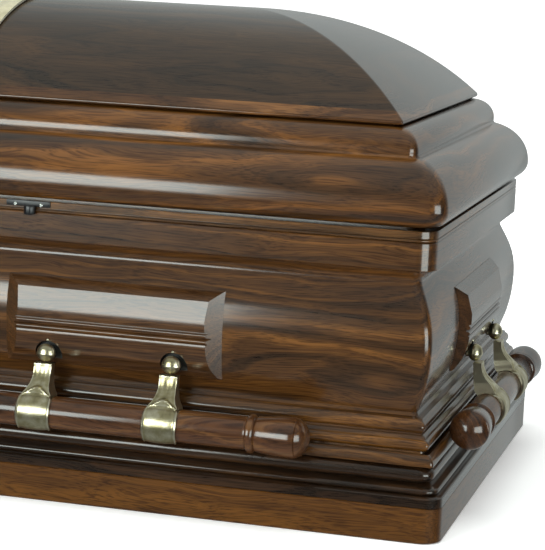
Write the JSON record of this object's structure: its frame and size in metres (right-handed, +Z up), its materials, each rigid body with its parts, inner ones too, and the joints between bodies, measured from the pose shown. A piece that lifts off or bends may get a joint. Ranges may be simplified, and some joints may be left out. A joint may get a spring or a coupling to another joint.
{
  "type": "funeral casket",
  "caption": "Closed half-couch wooden casket in glossy dark walnut, with domed lids, moulded blocks, swing bar handles on antique brass arms and a cream throw over the foot lid.",
  "frame": {"origin": "middle of the underside, on the surface that the casket stands on", "axes": "+X runs along the length towards the foot end, -Y is the front with the catches, +Z is up"},
  "size_m": [2.171, 0.791, 0.622],
  "materials": {
    "walnut_body": "gloss lacquer",
    "walnut_lid": "gloss lacquer",
    "walnut_base": "gloss lacquer",
    "plinth_wood": "satin lacquer",
    "inner_wood": "bare, sanded",
    "bar_wood": "gloss lacquer",
    "brass": "antique, worn bright on the ridges",
    "black_metal": "satin black",
    "velvet": "short pile"
  },
  "bodies": {
    "casket": {"plinth": "plinth_wood", "base_moulding": "walnut_base", "bottom_board": "inner_wood", "body_shell": "walnut_body", "rim_rail": "walnut_body", "foot_catch": "black_metal", "head_catch": "black_metal", "foot_hinge": "brass", "head_hinge": "brass", "front_block_1": "walnut_body", "front_block_2": "walnut_body", "front_block_3": "walnut_body", "front_lug_1": "brass", "front_lug_2": "brass", "front_lug_3": "brass", "front_lug_4": "brass", "front_lug_5": "brass", "front_lug_6": "brass", "back_block_1": "walnut_body", "back_block_2": "walnut_body", "back_block_3": "walnut_body", "back_lug_1": "brass", "back_lug_2": "brass", "back_lug_3": "brass", "back_lug_4": "brass", "back_lug_5": "brass", "back_lug_6": "brass", "foot_end_block": "walnut_body", "foot_end_lug_1": "brass", "foot_end_lug_2": "brass", "head_end_block": "walnut_body", "head_end_lug_1": "brass", "head_end_lug_2": "brass"},
    "foot_lid": {"foot_lid_rail": "walnut_lid", "foot_lid_crown": "walnut_lid", "foot_lid_header": "inner_wood", "throw": "velvet"},
    "head_lid": {"head_lid_rail": "walnut_lid", "head_lid_crown": "walnut_lid", "head_lid_header": "inner_wood"},
    "front_handle": {"front_arm_1": "brass", "front_arm_2": "brass", "front_arm_3": "brass", "front_arm_4": "brass", "front_arm_5": "brass", "front_arm_6": "brass", "front_bar": "bar_wood"},
    "back_handle": {"back_arm_1": "brass", "back_arm_2": "brass", "back_arm_3": "brass", "back_arm_4": "brass", "back_arm_5": "brass", "back_arm_6": "brass", "back_bar": "bar_wood"},
    "foot_end_handle": {"foot_end_arm_1": "brass", "foot_end_arm_2": "brass", "foot_end_bar": "bar_wood"},
    "head_end_handle": {"head_end_arm_1": "brass", "head_end_arm_2": "brass", "head_end_bar": "bar_wood"}
  },
  "joints": [
    {"name": "foot_lid_hinge", "type": "hinge", "parent": "casket", "child": "foot_lid", "pos_m": [0.51, 0.3355, 0.3765], "axis": [-1, 0, 0], "range_deg": [0, 85]},
    {"name": "head_lid_hinge", "type": "hinge", "parent": "casket", "child": "head_lid", "pos_m": [-0.51, 0.3355, 0.3765], "axis": [-1, 0, 0], "range_deg": [0, 85]},
    {"name": "front_handle_swing", "type": "hinge", "parent": "casket", "child": "front_handle", "pos_m": [0, -0.351, 0.183], "axis": [-1, 0, 0], "range_deg": [0, 90]},
    {"name": "back_handle_swing", "type": "hinge", "parent": "casket", "child": "back_handle", "pos_m": [0, 0.351, 0.183], "axis": [1, 0, 0], "range_deg": [0, 90]},
    {"name": "foot_end_handle_swing", "type": "hinge", "parent": "casket", "child": "foot_end_handle", "pos_m": [1.041, 0, 0.183], "axis": [0, -1, 0], "range_deg": [0, 90]},
    {"name": "head_end_handle_swing", "type": "hinge", "parent": "casket", "child": "head_end_handle", "pos_m": [-1.041, 0, 0.183], "axis": [0, 1, 0], "range_deg": [0, 90]}
  ]
}
